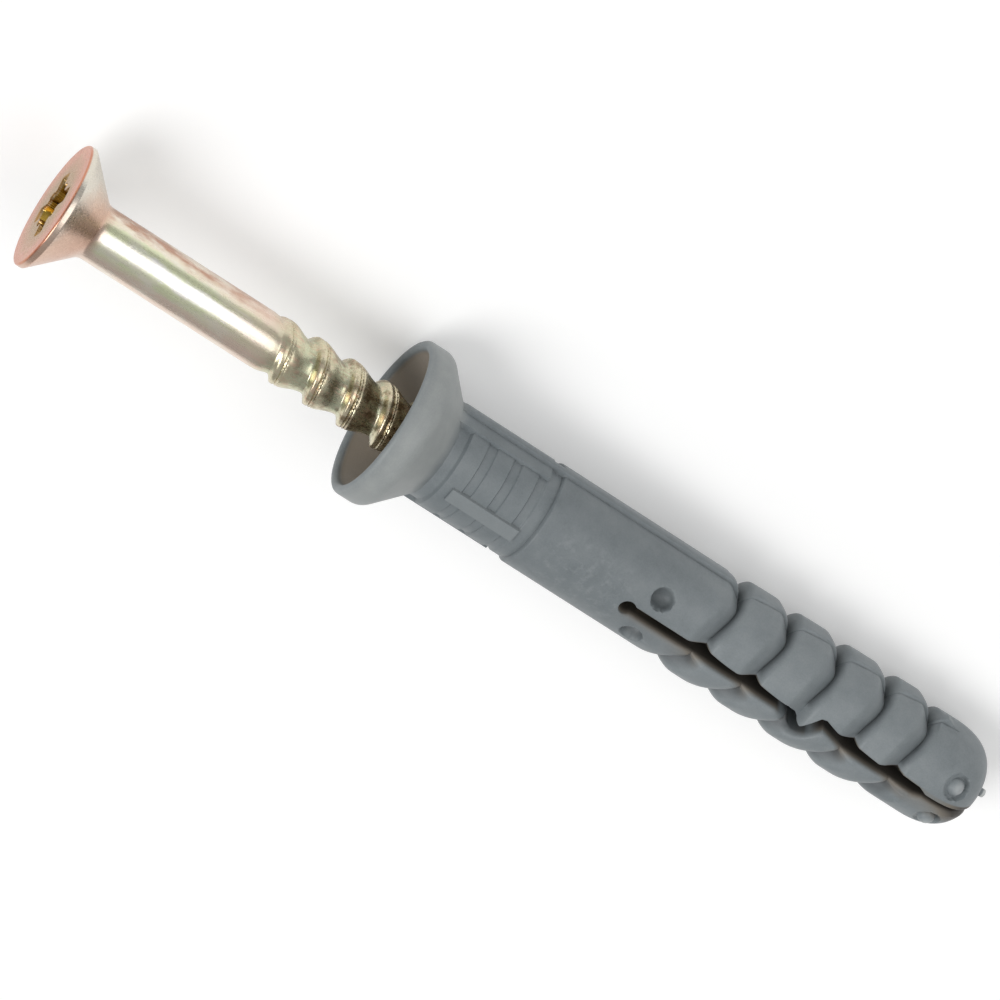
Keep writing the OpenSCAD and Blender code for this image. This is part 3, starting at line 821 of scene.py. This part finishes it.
# materials
class Nodes:
    """Short hand for building a node material."""

    def __init__(self, name):
        self.mat = bpy.data.materials.new(name)
        self.mat.use_nodes = True
        self.tree = self.mat.node_tree
        self.tree.nodes.clear()

    def add(self, kind, **values):
        node = self.tree.nodes.new(kind)
        for key, value in values.items():
            if key in node.inputs:
                self.set(node, key, value)
            else:
                setattr(node, key, value)
        return node

    def set(self, node, key, value):
        if isinstance(value, bpy.types.NodeSocket):
            self.tree.links.new(value, node.inputs[key])
        else:
            node.inputs[key].default_value = value

    def math(self, op, a, b=0.0):
        node = self.tree.nodes.new("ShaderNodeMath")
        node.operation = op
        self.set(node, 0, a)
        self.set(node, 1, b)
        return node.outputs[0]

    def plus(self, a, b):
        return self.math("ADD", a, b)

    def times(self, first, *others):
        for other in others:
            first = self.math("MULTIPLY", first, other)
        return first

    def noise(self, vector, scale, detail=3.0, rough=0.55):
        n = self.add("ShaderNodeTexNoise", Vector=vector, Scale=scale, Detail=detail, Roughness=rough)
        return n.outputs["Fac"]

    def ramp(self, fac, stops):
        n = self.add("ShaderNodeValToRGB")
        self.tree.links.new(fac, n.inputs["Fac"])
        elements = n.color_ramp.elements
        while len(elements) < len(stops):
            elements.new(0.5)
        for e, (pos, col) in zip(elements, stops):
            e.position, e.color = pos, (*col, 1.0)
        return n.outputs["Color"]

    def mix(self, fac, a, b):
        n = self.tree.nodes.new("ShaderNodeMix")
        n.data_type = "RGBA"
        self.set(n, 0, fac)
        for i, v in ((6, a), (7, b)):
            self.set(n, i, v if isinstance(v, bpy.types.NodeSocket) else (*v, 1.0))
        return n.outputs[2]

    def remap(self, fac, a, b, c, d):
        """From the range a to b into the range c to d."""
        n = self.add("ShaderNodeMapRange")
        for i, v in enumerate((fac, a, b, c, d)):
            self.set(n, i, v)
        return n.outputs[0]

    def rise(self, fac, a, b, top=1.0):
        return self.remap(fac, a, b, 0.0, top)

    def fall(self, fac, a, b, top=1.0):
        return self.remap(fac, a, b, top, 0.0)

    def band(self, fac, up, down, top=1.0):
        """From 0 to top over the range up, and back to 0 over the range down."""
        return self.times(self.rise(fac, *up, top), self.fall(fac, *down))

    def bump(self, height, strength, distance):
        n = self.add("ShaderNodeBump", Strength=strength, Distance=distance, Height=height)
        return n.outputs["Normal"]

    def own_place(self):
        """The piece's own millimetres as a vector, its parts, and the distance from the axis."""
        local = self.add("ShaderNodeAttribute", attribute_name="local_mm").outputs["Vector"]
        x, y, z = self.add("ShaderNodeSeparateXYZ", Vector=local).outputs
        radius = self.math("SQRT", self.plus(self.times(x, x), self.times(y, y)))
        return local, x, y, z, radius

    def output(self, shader):
        out = self.add("ShaderNodeOutputMaterial")
        self.tree.links.new(shader, out.inputs["Surface"])
        return self.mat


def srgb(r, g, b):
    """Linear colour of an 8-bit screen colour."""
    return tuple((c / 255 / 12.92) if c <= 10 else ((c / 255 + 0.055) / 1.055) ** 2.4 for c in (r, g, b))


# stretches along the plug that differ in tone, each as a rise and a fall
SCUFF_ZONE = ((10.4, 11.5), (16.0, 17.5))
FRONT_ZONE = ((3.5, 5.0), (17.0, 21.0))
RIB_ZONE = ((18.0, 22.0), (33.0, 36.0))
NOTCH_ZONE = ((19.0, 19.6), (35.2, 35.8))
BAR_ZONE = ((COLLAR_H + SLOT_BAR_GAP, COLLAR_H + SLOT_BAR_GAP + 0.1), (RING_START - 0.1, RING_START + 0.2))
TOOTH_ZONE = ((TOOTH_START - 0.3, TOOTH_START), (TOOTH_END, TOOTH_END + 0.3))
SLOT_ZONE = ((-1.3, -0.5), (0.38, 0.46))
NYLON_IOR = 1.48
NYLON_RELIEF = 0.00005


def nylon():
    n = Nodes("grey_nylon")
    local, x, y, z, radius = n.own_place()
    funnel = n.plus(radius, z)
    mottle = n.noise(local, 0.9, 4.0, 0.6)
    grain = n.noise(local, 11.0, 3.0, 0.65)
    tone = n.plus(n.times(mottle, 0.55), n.times(grain, 0.45))
    colour = n.ramp(tone, [(0.34, srgb(113, 120, 123)), (0.5, srgb(122, 129, 132)), (0.66, srgb(131, 137, 139))])

    # faint scuffs on the bare side, a darker front part and paler ribs
    patches = n.rise(n.noise(local, 2.0, 4.0, 0.7), 0.5, 0.68, 0.42)
    scuffs = n.times(patches, n.band(z, *SCUFF_ZONE), n.fall(x, -3.05, -2.0))
    colour = n.mix(scuffs, colour, srgb(158, 163, 164))
    colour = n.mix(n.band(z, *FRONT_ZONE, 0.24), colour, srgb(90, 97, 100))
    colour = n.mix(n.band(z, *RIB_ZONE, 0.12), colour, srgb(150, 156, 158))

    # painted warm light in the cup and on the slot's walls, and painted shade deep inside the slot and in the dimples
    cup = n.times(n.fall(z, 2.9, 3.1), n.fall(funnel, 4.56, 4.66), n.rise(z, 0.22, 0.4))
    tooth = n.times(n.band(z, *TOOTH_ZONE), n.rise(y, -0.85, -0.7))
    slot = n.times(n.band(y, *SLOT_ZONE), n.rise(z, SLOT_START - 0.2, SLOT_START + 0.3),
                   n.math("SUBTRACT", 1.0, tooth))
    # painted light on the slot's walls near their edge
    lit = n.times(slot, n.fall(radius, 2.85, 3.12))
    painted_warm_light = n.math("MAXIMUM", n.times(cup, 0.9), n.times(lit, 0.75))
    colour = n.mix(painted_warm_light, colour, srgb(118, 107, 92))
    # painted shade deep inside the slot, and a faint painted shade inside the dimples
    deep = n.times(slot, n.fall(radius, 2.45, 2.85))
    beside = n.math("ABSOLUTE", n.math("SUBTRACT", z, DIMPLE_Z))
    dimple_shade = n.times(n.fall(beside, 0.6, 0.7), n.fall(radius, 2.72, 2.98))
    painted_shade = n.math("MAXIMUM", n.times(deep, 0.85), n.times(dimple_shade, 0.2))
    colour = n.mix(painted_shade, colour, srgb(44, 40, 36))

    # shade in the notches of the two halves
    valley = n.times(n.rise(y, 0.5, 0.8), n.fall(radius, 2.45, 2.88, 0.5))
    hollow = n.times(n.fall(y, -0.8, -0.55), n.fall(radius, 2.7, 3.12, 0.6))
    shade = n.times(n.math("MAXIMUM", valley, hollow), n.band(z, *NOTCH_ZONE))
    colour = n.mix(shade, colour, srgb(62, 66, 68))

    # painted highlights on the tops of the studs, painted light on the collar's rim and outer side and on the bars of
    # the neck, and the pale gate mark
    # painted highlight on the domed tops of the studs
    folded = n.add("ShaderNodeCombineXYZ", X=n.math("ABSOLUTE", x), Y=n.math("ABSOLUTE", y), Z=z).outputs[0]
    apart = n.add("ShaderNodeVectorMath", operation="DISTANCE")
    n.set(apart, 0, folded)
    n.set(apart, 1, STUD_TOP)
    colour = n.mix(n.fall(apart.outputs["Value"], 0.2, 0.48, 0.6), colour, srgb(178, 182, 183))
    # painted light on the collar's rim and outer side
    painted_collar_light = n.times(n.rise(funnel, 4.6, 4.85), n.remap(z, 0.15, 0.7, 0.5, 0.9), n.fall(z, 3.0, 3.7), 0.9)
    colour = n.mix(painted_collar_light, colour, n.ramp(tone, [(0.35, srgb(150, 154, 153)), (0.65, srgb(163, 166, 164))]))
    # painted light on the raised bar along the slot on the neck
    across = n.fall(n.math("ABSOLUTE", y), SLOT_BAR_W / 2 - 0.03, SLOT_BAR_W / 2 + 0.05)
    colour = n.mix(n.times(across, n.band(z, *BAR_ZONE), 0.3), colour, srgb(152, 157, 158))
    colour = n.mix(n.rise(z, PLUG_LEN - 0.03, PLUG_LEN + 0.03, 0.85), colour, srgb(205, 208, 206))

    rough = n.remap(grain, 0.3, 0.7, 0.4, 0.56)
    height = n.plus(n.times(grain, 0.7), n.noise(local, 3.4, 4.0))
    bsdf = n.add("ShaderNodeBsdfPrincipled", Roughness=rough, Normal=n.bump(height, 0.2, NYLON_RELIEF), IOR=NYLON_IOR)
    n.set(bsdf, "Base Color", colour)
    return n.output(bsdf.outputs[0])


# side of the nail where the painted highlight streak lies, as an angle around it
HIGHLIGHT_TURN = math.radians(148.0)
FACE_END = (0.06, 0.14)
ZINC_RELIEF = 0.00004
ROSE, BLUSH, GOLD = srgb(190, 154, 134), srgb(234, 214, 198), srgb(236, 224, 202)
GREEN, HIGHLIGHT_STREAK = srgb(230, 234, 198), srgb(246, 244, 238)
# plating colours around the shank, with a painted highlight streak as the palest band in the middle, as shares of a
# turn
FILM_AND_HIGHLIGHT = [(0.0, GOLD), (0.25, ROSE), (0.36, ROSE), (0.4, GOLD), (0.42, GREEN), (0.45, GREEN), (0.475, HIGHLIGHT_STREAK),
        (0.525, HIGHLIGHT_STREAK), (0.545, GREEN), (0.575, GREEN), (0.6, GOLD), (0.63, BLUSH), (0.75, BLUSH), (1.0, GOLD)]
CONE = [(0.2, srgb(214, 206, 190)), (0.42, srgb(222, 216, 204)), (0.6, srgb(216, 184, 164)),
        (0.78, srgb(206, 170, 150)), (0.95, srgb(220, 200, 186))]
CREST = [(0.32, srgb(228, 206, 184)), (0.5, srgb(212, 206, 176)), (0.66, srgb(218, 180, 156))]
ROOT = [(0.34, srgb(216, 188, 160)), (0.5, srgb(202, 208, 178)), (0.64, srgb(216, 190, 172))]
HEAD = [(0.3, srgb(192, 122, 96)), (0.5, srgb(204, 140, 114)), (0.7, srgb(190, 148, 112))]
GILT = [(0.35, srgb(140, 108, 44)), (0.65, srgb(190, 160, 74))]


def zinc():
    n = Nodes("yellow_zinc_steel")
    local, x, y, z, radius = n.own_place()
    c, d = math.cos(HIGHLIGHT_TURN), math.sin(HIGHLIGHT_TURN)
    u = n.plus(n.times(x, c), n.times(y, d))
    v = n.math("SUBTRACT", n.times(y, c), n.times(x, d))
    turn = n.plus(n.times(n.math("ARCTAN2", v, u), 0.5 / math.pi), 0.5)
    along = n.plus(z, NAIL_OUT)
    drawn = n.add("ShaderNodeMapping", Vector=local, Scale=(3.0, 3.0, 0.3)).outputs[0]
    streak = n.noise(drawn, 1.6, 4.0, 0.65)
    cloud = n.noise(local, 0.7, 4.0, 0.6)
    fine = n.noise(local, 7.0, 3.0, 0.6)
    mixed = n.plus(n.times(streak, 0.5), n.times(cloud, 0.5))
    film = n.plus(turn, n.plus(n.times(n.math("SUBTRACT", streak, 0.5), 0.07),
                               n.times(n.math("SUBTRACT", cloud, 0.5), 0.1)))

    # plain shank with its painted highlight streak, paler in blotches and rosier towards the thread
    shank = n.ramp(film, FILM_AND_HIGHLIGHT)
    long = n.add("ShaderNodeMapping", Vector=local, Scale=(1.0, 1.0, 0.4)).outputs[0]
    blotch = n.noise(long, 1.3, 3.0, 0.55)
    shank = n.mix(n.rise(blotch, 0.44, 0.62, 0.75), shank, srgb(240, 234, 220))
    shank = n.mix(n.rise(along, 9.5, 13.0, 0.6), shank, srgb(232, 208, 192))

    # thread, browner towards the plug
    thread = n.mix(n.rise(radius, 1.34, 1.72), n.ramp(mixed, ROOT), n.ramp(mixed, CREST))
    stain = n.times(n.rise(n.noise(local, 1.7, 4.0, 0.7), 0.46, 0.62), n.remap(along, 15.0, 19.5, 0.2, 0.8))
    thread = n.mix(stain, thread, srgb(128, 106, 78))
    colour = n.mix(n.rise(along, 13.0, 14.4), shank, thread)

    # cone of the head, its face, the face next to the recess, and the recess
    cone = n.ramp(n.plus(film, n.rise(along, 0.5, 2.6, 0.25)), CONE)
    colour = n.mix(n.fall(along, 2.5, 3.1), colour, cone)
    colour = n.mix(n.fall(along, *FACE_END), colour, n.ramp(mixed, HEAD))
    near = n.times(n.fall(radius, 1.9, 3.2, 0.85), n.fall(along, *FACE_END))
    colour = n.mix(near, colour, srgb(160, 132, 84))
    pit = n.times(n.rise(along, 0.03, 0.2), n.fall(radius, 2.04, 2.1), n.fall(along, 2.0, 2.05))
    colour = n.mix(pit, colour, n.ramp(cloud, GILT))

    rough = n.plus(n.remap(streak, 0.3, 0.7, 0.18, 0.3), n.times(fine, 0.08))
    height = n.plus(n.times(streak, 0.6), fine)
    bsdf = n.add("ShaderNodeBsdfPrincipled", Roughness=rough, Normal=n.bump(height, 0.16, ZINC_RELIEF), Metallic=1.0)
    n.set(bsdf, "Base Color", colour)
    return n.output(bsdf.outputs[0])


# stage, light and camera
CAM_POS = (-0.07673, 0.15679, 0.25981)
CAM_RIGHT = (0.80292723, 0.58341536, -0.1222063)
CAM_UP = (-0.54393124, 0.63326274, -0.55056073)
CAM_BACK = (-0.24381689, 0.50853202, 0.82580173)
CAM_LENS = 206.27
CAM_SENSOR = 36.0
CAM_CLIP = (0.01, 20.0)
TENT = 0.52
PANEL = 1.9
PANEL_AT = (0.46, -0.29, 0.84)
PANEL_EDGE = (math.radians(28), math.radians(13))
KEY_AT = (-0.6, -0.3, 0.74)
KEY_STRENGTH = 1.45
KEY_SPREAD = math.radians(38.0)
FLOOR_HALF = 4.0
FLOOR_CELLS = 8
FLOOR_DROP = 0.00002
# tones of the floor as a reflector, as the picture shows it, and the light it gives off there
FLOOR_TABLE = [(0.3, (0.89, 0.89, 0.89)), (0.7, (0.91, 0.91, 0.91))]
FLOOR_SEEN = [(0.3, (0.77, 0.77, 0.765)), (0.7, (0.79, 0.79, 0.785))]
FLOOR_GLOW = 0.28


def floor_material():
    n = Nodes("floor_white")
    grain = n.noise(n.add("ShaderNodeNewGeometry").outputs["Position"], 30.0)
    table = n.add("ShaderNodeBsdfDiffuse", Color=n.ramp(grain, FLOOR_TABLE))
    matt = n.add("ShaderNodeBsdfDiffuse", Color=n.ramp(grain, FLOOR_SEEN))
    glow = n.add("ShaderNodeEmission", Strength=FLOOR_GLOW)
    paper = n.add("ShaderNodeAddShader")
    n.set(paper, 0, matt.outputs[0])
    n.set(paper, 1, glow.outputs[0])
    path = n.add("ShaderNodeLightPath").outputs
    seen = n.math("MAXIMUM", n.math("MAXIMUM", path["Is Camera Ray"], path["Is Glossy Ray"]),
                  path["Is Transmission Ray"])
    both = n.add("ShaderNodeMixShader", Fac=seen)
    n.set(both, 1, table.outputs[0])
    n.set(both, 2, paper.outputs[0])
    return n.output(both.outputs[0])


def add_camera():
    data = bpy.data.cameras.new("camera")
    data.lens, data.sensor_width = CAM_LENS, CAM_SENSOR
    data.clip_start, data.clip_end = CAM_CLIP
    cam = bpy.data.objects.new("camera", data)
    cols = [Vector(v).normalized() for v in (CAM_RIGHT, CAM_UP, CAM_BACK)]
    turn = Matrix(cols).transposed().to_4x4()
    cam.matrix_world = Matrix.Translation(CAM_POS) @ turn
    bpy.context.scene.collection.objects.link(cam)
    bpy.context.scene.camera = cam


def in_picture(right, up, back):
    """Direction in the shared frame of a direction given in the picture."""
    return (Vector(CAM_RIGHT) * right + Vector(CAM_UP) * up + Vector(CAM_BACK) * back).normalized()


def add_key():
    data = bpy.data.lights.new("key", "SUN")
    data.energy, data.angle = KEY_STRENGTH, KEY_SPREAD
    sun = bpy.data.objects.new("key", data)
    sun.rotation_euler = in_picture(*KEY_AT).to_track_quat("Z", "Y").to_euler()
    bpy.context.scene.collection.objects.link(sun)


def add_world():
    """White surround with one soft panel in front of the object."""
    world = bpy.data.worlds.new("studio")
    bpy.context.scene.world = world
    world.use_nodes = True
    tree = world.node_tree
    tree.nodes.clear()
    out = tree.nodes.new("ShaderNodeOutputWorld")
    path = tree.nodes.new("ShaderNodeLightPath")
    seen = tree.nodes.new("ShaderNodeBackground")
    seen.inputs[0].default_value = (1, 1, 1, 1)
    tent = tree.nodes.new("ShaderNodeBackground")
    coord = tree.nodes.new("ShaderNodeTexCoord")
    dot = tree.nodes.new("ShaderNodeVectorMath")
    dot.operation = "DOT_PRODUCT"
    dot.inputs[1].default_value = in_picture(*PANEL_AT)
    edge = tree.nodes.new("ShaderNodeMapRange")
    edge.interpolation_type = "SMOOTHSTEP"
    for i, value in enumerate((*(math.cos(a) for a in PANEL_EDGE), TENT, TENT + PANEL)):
        edge.inputs[i + 1].default_value = value
    mix = tree.nodes.new("ShaderNodeMixShader")
    for given, taken in ((coord.outputs["Generated"], dot.inputs[0]), (dot.outputs["Value"], edge.inputs[0]),
                         (edge.outputs[0], tent.inputs[1]), (path.outputs["Is Camera Ray"], mix.inputs[0]),
                         (tent.outputs[0], mix.inputs[1]), (seen.outputs[0], mix.inputs[2]),
                         (mix.outputs[0], out.inputs[0])):
        tree.links.new(given, taken)


def add_floor():
    bm = bmesh.new()
    bmesh.ops.create_grid(bm, x_segments=FLOOR_CELLS, y_segments=FLOOR_CELLS, size=FLOOR_HALF)
    mesh = bpy.data.meshes.new("floor")
    bm.to_mesh(mesh)
    bm.free()
    floor = bpy.data.objects.new("floor", mesh)
    floor.location = (0, 0, -FLOOR_DROP)
    bpy.context.scene.collection.objects.link(floor)
    mesh.materials.append(floor_material())


bpy.context.scene.view_settings.view_transform = "Standard"

sleeve = build_sleeve()
sleeve.data.materials.append(nylon())
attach(sleeve, "sleeve")
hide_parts("plug_sleeve")

nail = build_nail()
nail.data.materials.append(zinc())
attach(nail, "nail")
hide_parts("nail_screw")

add_camera()
add_floor()
add_world()
add_key()
